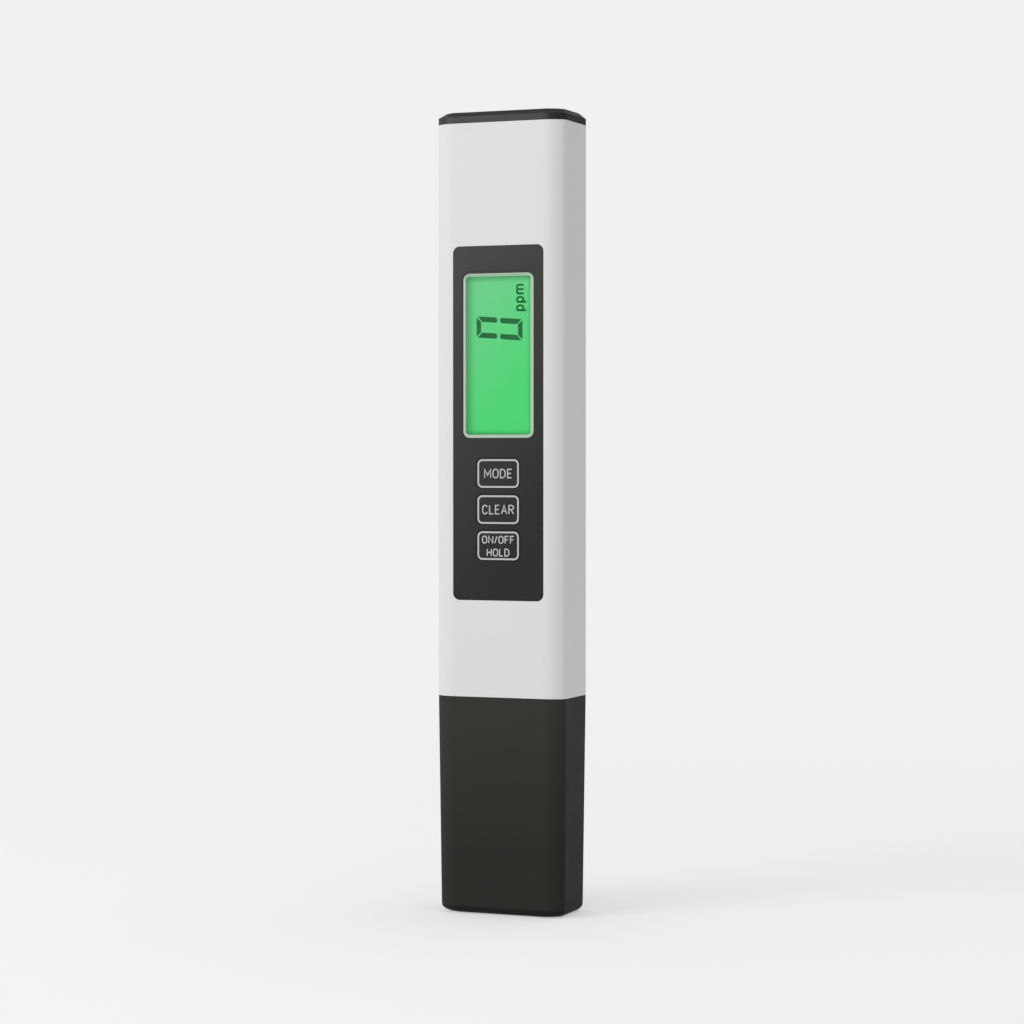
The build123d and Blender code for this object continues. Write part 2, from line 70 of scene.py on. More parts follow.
# Floor
FLOOR_RADIUS = 3.0
FLOOR_SIDES = 96
FLOOR_DROP = 0.02 * MM  # gap below the pen's foot
FLOOR_FADE = (0.12, 0.42)  # from where to where it runs into the background
FLOOR_BOUNCE = 0.45  # how pale it is for the light that it throws back
FLOOR_SHADE = 0.47  # how pale its seen colour is where shadows can darken it
FLOOR_GLOW = 0.395  # the rest of its seen colour, which shadows leave alone

# Surface noise in lumps to the metre, with the detail of each
MOTTLE_NOISE = (60, 4)
GLOSS_NOISE = (220, 2)
METAL_NOISE = (2500, 3)
BLOOM_NOISE = (400, 4)
RUBBER_NOISE = (5000, 2)
HAZE_NOISE = (300, 4)
GLOW_NOISE = (90, 2)
SEGMENT_NOISE = (500, 3)
LAMINATE_NOISE = (300, 2)
GRAIN_DETAIL = 2
# Size of a moulded grain, and depth of each surface's relief
GRAIN = 0.3 * MM
FINE_GRAIN = 0.15 * MM
PRINT_GRAIN = 0.1 * MM
RELIEF = 0.006 * MM
PRINT_RELIEF = 0.002 * MM
METAL_RELIEF = 0.002 * MM
RUBBER_RELIEF = 0.008 * MM
TRACK_RELIEF = 0.02 * MM

# Finishes
GLOSS_PLAY = 0.04  # how far the roughness of a plastic strays either way
GLOSS_REACH = (0.3, 0.7)  # noise values at which it strays that far
MOTTLE = 0.03  # how far the colour of a plastic strays either way
FOOT_SHADE_LEVEL = 0.35  # how light painted shade leaves a foot at the very bottom
FOOT_SHADE_START = 0.5  # share of the foot's height up to which the painted shade stays that dark
METAL_SHADES = (0.9, 1.08)  # darkest and lightest shade of a metal's lines
METAL_GLOSS = (-0.06, 0.08)  # what the lines add to its roughness
RUBBER_SHADES = (0.8, 1.25)
RUBBER_GLOSS = (0.6, 0.8)
RUBBER_SPECULAR = 0.3
LENS_TINTS = ((0.97, 0.985, 0.98), (0.99, 1.0, 0.99))
LENS_GLOSS = (0.02, 0.06)
ALONG_X = (0.02, 1, 1)  # stretches noise into lines along X
ALONG_Z = (1, 1, 0.02)
LENS_BENDING = 1.15  # index of refraction
PANEL_BLACK = (0.0096, 0.0096, 0.009)
PANEL_PAINTED_SHEEN = ((0.0359, 0.0359, 0.0335), 1.41, 66 * MM, 138 * MM)  # painted sheen: colour run to, tilt, start, end
# Painted light: the probe cap runs lighter towards its top; colour run to, tilt, start, end
CAP_PAINTED_LIGHT = ((0.033, 0.033, 0.029), 0, 12 * MM, 44 * MM)
CAP_SHADE_HEIGHT = 1.7 * MM  # height up to which painted shade darkens the probe cap
FRAME_COLOUR = (0.42, 0.56, 0.44)
FRAME_DARK = (0.03, 0.03, 0.028)
FRAME_RIM = (0.19 * MM, 0.04 * MM, 0.06 * MM, 0.4 * MM)  # dark rim at the left, right, foot and head
FRAME_RADIUS = 1.3 * MM  # outline of the pale part
FRAME_BLUR = 0.02 * MM
FRAME_GLOSS = (0.34, 0.4)
FRAME_SPECULAR = 0.25

# Printed marks on the keys
INK = 0.02 * MM  # thickness of a printed mark
KEY_LINE = 0.34 * MM
KEY_LINE_INSET = (0.175 * MM, 0.12 * MM)
KEY_PRINT_SHIFT = (0.03 * MM, -0.05 * MM)
KEY_LINE_RADIUS = 1.0 * MM
KEY_FACE_PLAY = 0.01 * MM  # how far behind its foremost point a key's front face can lie
WORD_STROKE = 0.23 * MM
LETTER_GAP = 0.3  # in the units of the letters' widths
SAME_POINT = 0.001 * MM  # points nearer than this count as one
ROUND_STEPS = 8  # steps round each corner of a printed frame

# Display
SEGMENT_STROKE = 1.02 * MM
SEGMENT_END = 0.92 * MM
DIGIT_HEIGHT = 9.5 * MM
DIGIT_WIDTH = 4.08 * MM
DIGIT_SLANT = 4.5  # degrees
DIGIT_MIDDLE = (-0.25 * MM, 112.5 * MM)
SEGMENT_GAP = 0.24 * MM
MIDDLE_GAP = 0.5 * MM
MIDDLE_SHIFT = 0.17 * MM
UNIT_MIDDLE = (4.02 * MM, 118.3 * MM)
UNIT_SIZE = (5.2 * MM, 1.74 * MM)
UNIT_STROKE = 0.36 * MM
UNIT_GAP = 0.42
EDGE_LEFT, EDGE_RIGHT = -7.1 * MM, 6.1 * MM  # part of the display that the photograph shows
EDGE_LOW, EDGE_HIGH = 92.2 * MM, 122.5 * MM
# Painted shade of the window's recess along the edges: the axis, the light left at the edge, the edge,
# and where the light is full
EDGE_PAINTED_SHADE = (
    ("X", 0.8, EDGE_LEFT, EDGE_LEFT + 1.6 * MM),
    ("X", 0.78, EDGE_RIGHT, EDGE_RIGHT - 0.7 * MM),
    ("Z", 0.65, EDGE_LOW, EDGE_LOW + 0.9 * MM),
    ("Z", 0.6, EDGE_HIGH, EDGE_HIGH - 1.2 * MM),
)
GLOW_LOW, GLOW_HIGH = (0.05, 0.59, 0.145), (0.13, 0.56, 0.22)
GLOW_RUN = (1, 96 * MM, 126 * MM)  # tilt, start and end of the run from one to the other
GLOW_STRAY = 0.2  # how far noise moves a point along that run
DULL_SHARE = 0.45  # share of the glow's colour that the display reflects
DISPLAY_SPECULAR = 0.1
DISPLAY_ROUGHNESS = 0.35
INK_ROUGHNESS = 0.5
INK_SHADES = (0.8, 1.2)
INK_GLOW = 0.4  # light of the segments' own
LIP_PAINTED_GLOW = 0.35  # painted glow on the pale line, brightening it in the trim's shade

# Border and pale line printed on the lens
TRIM_LINE = 0.66 * MM  # width of the trim's four sides
LENS_EDGE = 0.1 * MM  # bare edge of the lens round the border
LENS_PRINT_RADIUS = 1.2 * MM
OPENING_RADIUS = 0.64 * MM
MASK_REACH = (-0.25 * MM, 0.08 * MM)  # how far the border reaches inside the trim, across and up
LIP = 0.27 * MM  # height of the pale line below the trim's upper edge
LIP_PLAY = 0.02 * MM  # gap between the pale line and the trim, both sides together

# Crown of the top cap
CORNER = (3.8 * MM, 2.25 * MM)  # width and depth of the pen's rounded corner
SIDE_RADIUS = 1.3 * MM
CORNER_STEPS = 10
CROWN_FOOT = 152.95 * MM
CROWN_BEND = 153.07 * MM  # where it starts to draw in
CROWN_INSET = (0.86 * MM, 1.17 * MM)  # how far its top is drawn in, at the sides and front to back
CROWN_CORNER = (3.26 * MM, 2.92 * MM)
CROWN_EDGE = 25  # degrees, from where an edge is shaded sharp


def arc(x, z, across, up, start, end, steps):
    """Points along an ellipse about (x, z), from one angle in degrees to another."""
    turns = (radians(start + (end - start) * step / steps) for step in range(steps + 1))
    return [(x + across * cos(turn), z + up * sin(turn)) for turn in turns]


def rounded_box(width, height, radius):
    """Closed outline of a rectangle with round corners about the origin."""
    x, z = width / 2 - radius, height / 2 - radius
    outline = []
    for cx, cz, turn in ((x, z, 0), (-x, z, 90), (-x, -z, 180), (x, -z, 270)):
        outline += arc(cx, cz, radius, radius, turn, turn + 90, ROUND_STEPS)
    return outline


def stroke_sides(points, width, closed):
    """Rows of points along both sides of a stroke, mitred at its corners."""
    sides = ([], [])
    count = len(points)
    for i, (x, z) in enumerate(points):
        before = points[i - 1] if closed or i else None
        after = points[(i + 1) % count] if closed or i < count - 1 else None
        runs = []
        for a, b in ((before, (x, z)), ((x, z), after)):
            if a and b:
                length = hypot(b[0] - a[0], b[1] - a[1])
                runs.append(((b[0] - a[0]) / length, (b[1] - a[1]) / length))
        normals = [(-run[1], run[0]) for run in runs]
        nx = sum(n[0] for n in normals)
        nz = sum(n[1] for n in normals)
        size = hypot(nx, nz)
        nx, nz = nx / size, nz / size
        reach = width / 2 / max(nx * normals[0][0] + nz * normals[0][1], 0.5)
        sides[0].append((x + nx * reach, z + nz * reach))
        sides[1].append((x - nx * reach, z - nz * reach))
    return sides


def add_strip(mesh, left, right, front, back, closed):
    """Add a thin ribbon between two rows of (x, z) points, from one Y to another."""
    rows = [[mesh.verts.new((x, y, z)) for x, z in row] for y in (front, back) for row in (left, right)]
    count = len(left)
    for i in range(count if closed else count - 1):
        j = (i + 1) % count
        for a, b in ((0, 1), (1, 3), (3, 2), (2, 0)):
            mesh.faces.new((rows[a][i], rows[a][j], rows[b][j], rows[b][i]))
    if not closed:
        for i in (0, -1):
            mesh.faces.new([rows[a][i] for a in (0, 1, 3, 2)])


def add_prism(mesh, outline, front, back):
    """Add a thin plate with this (x, z) outline, from one Y to another."""
    faces = [[mesh.verts.new((x, y, z)) for x, z in outline] for y in (front, back)]
    for face in faces:
        mesh.faces.new(face)
    for i in range(len(outline)):
        j = (i + 1) % len(outline)
        mesh.faces.new((faces[0][i], faces[0][j], faces[1][j], faces[1][i]))


def add_object(name, data):
    """New object with this data, put in the scene."""
    thing = bpy.data.objects.new(name, data)
    bpy.context.scene.collection.objects.link(thing)
    return thing


def mesh_object(mesh, name, finish):
    """Turn a bmesh into an object with its finish."""
    data = bpy.data.meshes.new(name)
    mesh.to_mesh(data)
    mesh.free()
    data.materials.append(finish)
    return add_object(name, data)


def finish_piece(mesh, name, finish, body):
    """Turn a bmesh into a piece with its finish, riding on a body."""
    bmesh.ops.recalc_face_normals(mesh, faces=mesh.faces[:])
    piece = mesh_object(mesh, name, finish)
    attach(piece, body)
    return piece


def new_finish(name):
    """Fresh node material, with its tree and its shader."""
    finish = bpy.data.materials.new(name)
    finish.use_nodes = True
    return finish, finish.node_tree, finish.node_tree.nodes["Principled BSDF"]


def feed(tree, node, values):
    """Fill a node's sockets, each with a number, a vector, a colour or another node's output."""
    for place, value in values.items():
        socket = node.inputs[place]
        if isinstance(value, bpy.types.NodeSocket):
            tree.links.new(value, socket)
        elif socket.type == "RGBA":
            socket.default_value = (*value, 1)
        else:
            socket.default_value = value


def new_node(tree, kind, values=None, **settings):
    """Fresh node with its settings and its sockets filled."""
    node = tree.nodes.new(kind)
    for setting, value in settings.items():
        setattr(node, setting, value)
    feed(tree, node, values or {})
    return node


def calculate(tree, operation, *values):
    """Result of a piece of arithmetic on numbers or outputs."""
    return new_node(tree, "ShaderNodeMath", dict(enumerate(values)), operation=operation).outputs["Value"]


def object_place(tree):
    """Place of a point on the piece, in the piece's own frame."""
    return new_node(tree, "ShaderNodeTexCoord").outputs["Object"]


def separate(tree, vector):
    """Outputs X, Y and Z of a vector."""
    return new_node(tree, "ShaderNodeSeparateXYZ", {"Vector": vector}).outputs


def vector_length(tree, vector):
    """Length of a vector."""
    return new_node(tree, "ShaderNodeVectorMath", {0: vector}, operation="LENGTH").outputs["Value"]


def noise(tree, scale, detail, stretch=(1, 1, 1)):
    """Noise over the piece, with about this many lumps to the metre."""
    shape = new_node(tree, "ShaderNodeMapping", {"Vector": object_place(tree), "Scale": stretch})
    values = {"Vector": shape.outputs["Vector"], "Scale": scale, "Detail": detail}
    return new_node(tree, "ShaderNodeTexNoise", values).outputs["Fac"]


def spread(tree, value, low, high, start=0.0, end=1.0):
    """Map a value from one range to another."""
    values = {"Value": value, "From Min": start, "From Max": end, "To Min": low, "To Max": high}
    return new_node(tree, "ShaderNodeMapRange", values).outputs["Result"]


def blend_colours(tree, amount, first, second, kind="MIX"):
    """Colour that runs from the first to the second with the amount."""
    values = {"Factor": amount, "A": first, "B": second}
    return new_node(tree, "ShaderNodeMix", values, data_type="RGBA", blend_type=kind).outputs["Result"]


def multiply_colours(tree, first, second):
    """Product of two colours."""
    return blend_colours(tree, 1.0, first, second, "MULTIPLY")


def uneven(tree, amount, colour, darker, lighter):
    """The colour, running from a darker to a lighter shade of it with the amount."""
    shades = [tuple(min(1.0, part * factor) for part in colour) for factor in (darker, lighter)]
    return blend_colours(tree, amount, *shades)


def emboss(tree, shader, height, depth):
    """Use a height to raise and sink the surface by about this depth."""
    bump = new_node(tree, "ShaderNodeBump", {"Height": height, "Distance": depth})
    feed(tree, shader, {"Normal": bump.outputs["Normal"]})


def tilted_height(tree, tilt, start, end):
    """0 to 1 up the pen between two heights, tilted so that it rises to the left."""
    values = {0: object_place(tree), 1: (-tilt, 0, 1)}
    along = new_node(tree, "ShaderNodeVectorMath", values, operation="DOT_PRODUCT")
    return spread(tree, along.outputs["Value"], 0, 1, start, end)


def moulded(name, colour, roughness, specular, mottle=MOTTLE,
            grain=GRAIN, relief=RELIEF, fade=None, foot=0):
    """Moulded plastic: a fine etched grain, faint mottling and slightly uneven gloss.

    A fade is painted light: the colour that it runs to up the pen, with its tilt, start and
    end. A foot is the height up to which painted shade darkens the piece towards its bottom.
    """
    finish, tree, shader = new_finish(name)
    cloud = noise(tree, *MOTTLE_NOISE)
    if fade:
        # Painted light: the colour runs lighter up the piece
        painted_light_tint = blend_colours(tree, tilted_height(tree, *fade[1:]), colour, fade[0])
        mottling = blend_colours(tree, cloud, (1 - mottle,) * 3, (1 + mottle,) * 3)
        tint = multiply_colours(tree, painted_light_tint, mottling)
    else:
        tint = uneven(tree, cloud, colour, 1 - mottle, 1 + mottle)
    if foot:
        # Painted shade: the piece darkens towards its foot
        light = spread(tree, tilted_height(tree, 0, 0, foot), FOOT_SHADE_LEVEL, 1, FOOT_SHADE_START, 1)
        tint = multiply_colours(tree, tint, light)
    low, high = roughness - GLOSS_PLAY, roughness + GLOSS_PLAY
    gloss = spread(tree, noise(tree, *GLOSS_NOISE), low, high, *GLOSS_REACH)
    feed(tree, shader, {"Base Color": tint, "Roughness": gloss, "Specular IOR Level": specular})
    emboss(tree, shader, noise(tree, 1 / grain, GRAIN_DETAIL), relief)
    return finish


def metal(name, colour, roughness, stretch):
    """Plated or polished metal with fine drawn lines along one axis."""
    finish, tree, shader = new_finish(name)
    lines = noise(tree, *METAL_NOISE, stretch)
    tint = uneven(tree, lines, colour, *METAL_SHADES)
    gloss = spread(tree, lines, roughness + METAL_GLOSS[0], roughness + METAL_GLOSS[1])
    feed(tree, shader, {"Base Color": tint, "Roughness": gloss, "Metallic": 1.0})
    emboss(tree, shader, lines, METAL_RELIEF)
    return finish


def rubber(name, colour):
    """Matt rubber with a soft bloom."""
    finish, tree, shader = new_finish(name)
    bloom = noise(tree, *BLOOM_NOISE)
    tint = uneven(tree, bloom, colour, *RUBBER_SHADES)
    gloss = spread(tree, bloom, *RUBBER_GLOSS)
    feed(tree, shader, {"Base Color": tint, "Roughness": gloss, "Specular IOR Level": RUBBER_SPECULAR})
    emboss(tree, shader, noise(tree, *RUBBER_NOISE), RUBBER_RELIEF)
    return finish


def clear_plastic():
    """Clear lens plate with faint polishing haze."""
    finish, tree, shader = new_finish("clear_plastic_finish")
    haze = noise(tree, *HAZE_NOISE)
    tint = blend_colours(tree, haze, *LENS_TINTS)
    feed(tree, shader, {"Base Color": tint, "Roughness": spread(tree, haze, *LENS_GLOSS)})
    feed(tree, shader, {"Transmission Weight": 1.0, "IOR": LENS_BENDING})
    return finish


def window_frame():
    """Pale frame whose outer rim is dark like the panel round it."""
    finish, tree, shader = new_finish("trim_plastic_finish")
    low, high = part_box("window_trim")
    left, right, foot, head = FRAME_RIM
    across, up = (low.x + left, high.x - right), (low.z + foot, high.z - head)
    reach = outline_reach(tree, across, up, FRAME_RADIUS)
    rim = spread(tree, reach, 0, 1, FRAME_RADIUS - FRAME_BLUR, FRAME_RADIUS + FRAME_BLUR)
    pale = uneven(tree, noise(tree, *MOTTLE_NOISE), FRAME_COLOUR, 1 - MOTTLE, 1 + MOTTLE)
    tint = blend_colours(tree, rim, pale, FRAME_DARK)
    gloss = spread(tree, noise(tree, *GLOSS_NOISE), *FRAME_GLOSS)
    feed(tree, shader, {"Base Color": tint, "Roughness": gloss, "Specular IOR Level": FRAME_SPECULAR})
    return finish


def outline_reach(tree, across, up, radius):
    """Distance of a point from a rectangle drawn in by a radius: on its rounded outline, the radius."""
    place = separate(tree, object_place(tree))
    beyond = {}
    for axis, (low, high) in (("X", across), ("Z", up)):
        inward = calculate(tree, "ABSOLUTE", calculate(tree, "SUBTRACT", place[axis], (low + high) / 2))
        past = calculate(tree, "SUBTRACT", inward, (high - low) / 2 - radius)
        beyond[axis] = calculate(tree, "MAXIMUM", past, 0)
    return vector_length(tree, new_node(tree, "ShaderNodeCombineXYZ", beyond).outputs["Vector"])


def lit_green(name, strength):
    """Backlit green, paler towards its upper left, with painted shade along the edges of the window."""
    finish, tree, shader = new_finish(name)
    height = tilted_height(tree, *GLOW_RUN)
    amount = calculate(tree, "MULTIPLY_ADD", noise(tree, *GLOW_NOISE), GLOW_STRAY, height)
    glow = blend_colours(tree, amount, GLOW_LOW, GLOW_HIGH)
    place = separate(tree, object_place(tree))
    # Painted shade of the window's recess along the display's edges
    for axis, dim, edge, inside in EDGE_PAINTED_SHADE:
        glow = multiply_colours(tree, glow, spread(tree, place[axis], dim, 1, edge, inside))
    dull = new_node(tree, "ShaderNodeHueSaturation", {"Color": glow, "Value": DULL_SHARE})
    feed(tree, shader, {
        "Base Color": dull.outputs["Color"],
        "Roughness": DISPLAY_ROUGHNESS,
        "Specular IOR Level": DISPLAY_SPECULAR,
        "Emission Color": glow,
        "Emission Strength": strength,
    })
    return finish


def dark_segment(name, colour):
    """Switched segment: it lets a little of the green light through."""
    finish, tree, shader = new_finish(name)
    tint = uneven(tree, noise(tree, *SEGMENT_NOISE), colour, *INK_SHADES)
    feed(tree, shader, {
        "Base Color": tint,
        "Roughness": INK_ROUGHNESS,
        "Specular IOR Level": DISPLAY_SPECULAR,
        "Emission Color": tint,
        "Emission Strength": INK_GLOW,
    })
    return finish


def pale_line():
    """Print of the trim's colour, with painted glow that brightens it in the trim's shade."""
    finish = moulded("lip_print_painted_glow", FRAME_COLOUR, 0.5, 0.2, MOTTLE, PRINT_GRAIN, PRINT_RELIEF)
    tree = finish.node_tree
    # Painted glow on the printed line
    light = {"Emission Color": FRAME_COLOUR, "Emission Strength": LIP_PAINTED_GLOW}
    feed(tree, tree.nodes["Principled BSDF"], light)
    return finish


def board_laminate():
    """Solder mask with copper tracks showing faintly through it."""
    finish, tree, shader = new_finish("board_laminate_finish")
    turn = new_node(tree, "ShaderNodeMapping", {"Vector": object_place(tree), "Rotation": (pi / 2, 0, 0)})
    tracks = new_node(tree, "ShaderNodeTexBrick", {
        "Vector": turn.outputs["Vector"],
        "Scale": 420,
        "Mortar Size": 0.06,
        "Color1": (0.012, 0.11, 0.045),
        "Color2": (0.014, 0.125, 0.05),
        "Mortar": (0.03, 0.2, 0.08),
    })
    gloss = spread(tree, noise(tree, *LAMINATE_NOISE), 0.25, 0.4)
    feed(tree, shader, {"Base Color": tracks.outputs["Color"], "Roughness": gloss})
    emboss(tree, shader, tracks.outputs["Fac"], TRACK_RELIEF)
    return finish


# Plastics: colour, roughness and specular level, then mottling, grain, relief, painted-light fade and
# painted-shade foot
PLASTICS = {
    "white_plastic": ((0.728, 0.728, 0.723), 0.5, 0.3, 0.012),
    # Painted light up the probe cap and painted shade at its foot
    "black_plastic": ((0.0215, 0.0215, 0.0187), 0.6, 0.12, 0.08, GRAIN, RELIEF, CAP_PAINTED_LIGHT, CAP_SHADE_HEIGHT),
    "base_plastic": ((0.03, 0.03, 0.03), 0.4, 0.3, 0.06),
    # The panel and keys carry painted sheen, lighter towards the upper left
    "panel_plastic": (PANEL_BLACK, 0.38, 0.24, 0.06, FINE_GRAIN, RELIEF, PANEL_PAINTED_SHEEN),
    "key_plastic": (PANEL_BLACK, 0.38, 0.24, 0.06, FINE_GRAIN, RELIEF, PANEL_PAINTED_SHEEN),
    "led_plastic": ((0.9, 0.88, 0.7), 0.25, 0.5),
    "carrier_plastic": ((0.78, 0.78, 0.77), 0.45, 0.4, 0.02),
    "holder_plastic": ((0.035, 0.035, 0.035), 0.45, 0.35, 0.06),
    "switch_plastic": ((0.03, 0.03, 0.03), 0.4, 0.4, 0.06),
    "plunger_plastic": ((0.45, 0.45, 0.43), 0.45, 0.4, 0.05),
    "chip_plastic": ((0.02, 0.02, 0.02), 0.5, 0.4, 0.1, 0.2 * MM),
    "component_ceramic": ((0.33, 0.24, 0.15), 0.5, 0.4, 0.1, FINE_GRAIN),
}
# Metals: colour, roughness and the way their lines run
METALS = {
    "steel": ((0.6, 0.6, 0.6), 0.3, ALONG_X),
    "cell_steel": ((0.72, 0.72, 0.71), 0.22, ALONG_X),
    "contact_metal": ((0.78, 0.66, 0.4), 0.28, ALONG_Z),
    "pin_steel": ((0.66, 0.66, 0.67), 0.2, ALONG_Z),
    "sensor_steel": ((0.6, 0.6, 0.62), 0.24, ALONG_Z),
}
FINISHES = {
    "trim_plastic": window_frame(),
    "clear_plastic": clear_plastic(),
    "display_glass": lit_green("display_glass_finish", 0.78),
    "guide_plastic": lit_green("guide_plastic_finish", 1.0),
    "board_laminate": board_laminate(),
    "seal_rubber": rubber("seal_rubber_finish", (0.03, 0.03, 0.03)),
    "lead_rubber": rubber("lead_rubber_finish", (0.4, 0.03, 0.025)),
}
FINISHES.update({slot: moulded(f"{slot}_finish", *values) for slot, values in PLASTICS.items()})
FINISHES.update({slot: metal(f"{slot}_finish", *values) for slot, values in METALS.items()})
TOP_FINISH = moulded("top_cap_finish", (0.019, 0.019, 0.018), 0.4, 0.38, 0.08)
KEY_PRINT = moulded("key_print", (0.5, 0.5, 0.495), 0.55, 0.3, 0.05, PRINT_GRAIN, PRINT_RELIEF)
MASK_PRINT_AND_SHADE = moulded("mask_print_and_shade", (0.04, 0.14, 0.06), 0.5, 0.3, 0.1, PRINT_GRAIN, PRINT_RELIEF)
LIP_PRINT_PAINTED_GLOW = pale_line()
SEGMENT_INK = dark_segment("segment_ink", (0.012, 0.125, 0.032))
UNIT_INK = dark_segment("unit_ink", (0.003, 0.11, 0.02))


def dress_nodes():
    """Give every CAD node the finish of its material slot."""
    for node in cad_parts.values():
        for place in node.material_slots:
            place.material = FINISHES[place.material.name]
    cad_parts["top_cap"].material_slots[0].material = TOP_FINISH


# Letters as strokes in a box of width and height 1: each is a width and its strokes,
# and a stroke is its points and whether it closes on itself
LETTERS = {
    "A": (0.66, [([(0, 0), (0.5, 1), (1, 0)], False), ([(0.24, 0.34), (0.76, 0.34)], False)]),
    "C": (0.6, [(arc(0.5, 0.68, 0.5, 0.32, 20, 180, 8)
                 + arc(0.5, 0.32, 0.5, 0.32, 180, 340, 8), False)]),
    "D": (0.6, [([(0, 0), (0, 1), (0.3, 1)] + arc(0.3, 0.6, 0.7, 0.4, 80, 0, 6)
                 + arc(0.3, 0.4, 0.7, 0.4, 0, -80, 6) + [(0.3, 0)], True)]),
    "E": (0.5, [([(1, 1), (0, 1), (0, 0), (1, 0)], False), ([(0.14, 0.52), (0.86, 0.52)], False)]),
    "F": (0.5, [([(1, 1), (0, 1), (0, 0)], False), ([(0.14, 0.52), (0.86, 0.52)], False)]),
    "H": (0.6, [([(0, 0), (0, 1)], False), ([(1, 0), (1, 1)], False),
                ([(0.12, 0.52), (0.88, 0.52)], False)]),
    "L": (0.48, [([(0, 1), (0, 0), (1, 0)], False)]),
    "M": (0.76, [([(0, 0), (0, 1), (0.5, 0.3), (1, 1), (1, 0)], False)]),
    "N": (0.62, [([(0, 0), (0, 1), (1, 0), (1, 1)], False)]),
    "O": (0.64, [(arc(0.5, 0.66, 0.5, 0.34, 0, 180, 10)
                  + arc(0.5, 0.34, 0.5, 0.34, 180, 360, 10), True)]),
    "R": (0.6, [([(0, 0), (0, 1), (0.5, 1)] + arc(0.5, 0.76, 0.5, 0.24, 75, -75, 8)
                 + [(0.5, 0.52), (0.12, 0.52)], False), ([(0.5, 0.44), (1, 0)], False)]),
    "/": (0.3, [([(0, 0), (1, 1)], False)]),
    "p": (0.6, [([(0, -0.42), (0, 1)], False), (arc(0.5, 0.5, 0.5, 0.5, 165, -165, 14), False)]),
    "m": (1.04, [([(0, 0), (0, 1)], False),
                 ([(0.06, 0.75)] + arc(0.28, 0.75, 0.22, 0.25, 150, 0, 6) + [(0.5, 0)], False),
                 ([(0.56, 0.75)] + arc(0.78, 0.75, 0.22, 0.25, 150, 0, 6) + [(1, 0)], False)]),
}


def word_strokes(word, width, height, stroke, gap=LETTER_GAP):
    """Strokes of a word drawn about the origin, each with whether it closes."""
    total = sum(LETTERS[letter][0] for letter in word) + gap * (len(word) - 1)
    unit = (width - stroke) / total
    start = -(width - stroke) / 2
    strokes = []
    for letter in word:
        share, lines = LETTERS[letter]
        for points, closed in lines:
            placed = [(start + x * share * unit, (z - 0.5) * (height - stroke)) for x, z in points]
            strokes.append((placed, closed))
        start += (share + gap) * unit
    return strokes


def tidy_outline(points):
    """The outline without points that fall on the one before."""
    kept = [points[0]]
    for x, z in points[1:]:
        if hypot(x - kept[-1][0], z - kept[-1][1]) > SAME_POINT:
            kept.append((x, z))
    return kept


def stroke_mesh(strokes, width, face):
    """Mesh of strokes printed on a face that looks towards -Y."""
    mesh = bmesh.new()
    for points, closed in strokes:
        left, right = stroke_sides(tidy_outline(points), width, closed)
        add_strip(mesh, left, right, face - INK, face, closed)
    return mesh


def print_word(name, word, middle, width, height, face, body):
    """Print a word on a key."""
    strokes = []
    for points, closed in word_strokes(word, width, height, WORD_STROKE):
        strokes.append(([(middle[0] + x, middle[1] + z) for x, z in points], closed))
    mesh = stroke_mesh(strokes, WORD_STROKE, face)
    finish_piece(mesh, name, KEY_PRINT, body)


def print_ring(name, middle, outer, inner, face, finish, body, shift=(0.0, 0.0)):
    """Print a frame between two round cornered outlines, each given as width, height, radius.

    The shift moves the inner outline.
    """
    mesh = bmesh.new()
    inside = (middle[0] + shift[0], middle[1] + shift[1])
    rows = []
    for (across, up), size in ((middle, outer), (inside, inner)):
        rows.append([(across + x, up + z) for x, z in rounded_box(*size)])
    add_strip(mesh, *rows, face - INK, face, True)
    finish_piece(mesh, name, finish, body)


# Words on each key: the word, its rise above the middle, its width and its height
KEY_WORDS = {
    "mode": [("MODE", 0, 5.8 * MM, 1.85 * MM)],
    "clear": [("CLEAR", 0, 6.6 * MM, 1.85 * MM)],
    "power": [("ON/OFF", 1.15 * MM, 6.7 * MM, 1.55 * MM), ("HOLD", -1.3 * MM, 4.7 * MM, 1.55 * MM)],
}


def print_keys():
    """Outline and words on each key, riding on the key."""
    for key, lines in KEY_WORDS.items():
        low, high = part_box(f"{key}_key")
        face = low.y
        cap = key_face_size(f"{key}_key")
        middle = (KEY_PRINT_SHIFT[0], (low.z + high.z) / 2 + KEY_PRINT_SHIFT[1])
        outer = (cap[0] - 2 * KEY_LINE_INSET[0], cap[1] - 2 * KEY_LINE_INSET[1], KEY_LINE_RADIUS)
        inner = (outer[0] - 2 * KEY_LINE, outer[1] - 2 * KEY_LINE, KEY_LINE_RADIUS - KEY_LINE)
        body = f"{key}_button"
        print_ring(f"{key}_outline", middle, outer, inner, face, KEY_PRINT, body)
        for word, rise, wide, tall in lines:
            name = f"{key}_label_{word.replace('/', '_').lower()}"
            print_word(name, word, (middle[0], middle[1] + rise), wide, tall, face, body)


def key_face_size(node):
    """Width and height of a key's front face, which its wider flange lies behind."""
    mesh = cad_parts[node].data
    front = min(v.co.y for v in mesh.vertices)
    face = [v.co for v in mesh.vertices if v.co.y < front + KEY_FACE_PLAY]
    across = [place.x for place in face]
    up = [place.z for place in face]
    return max(across) - min(across), max(up) - min(up)


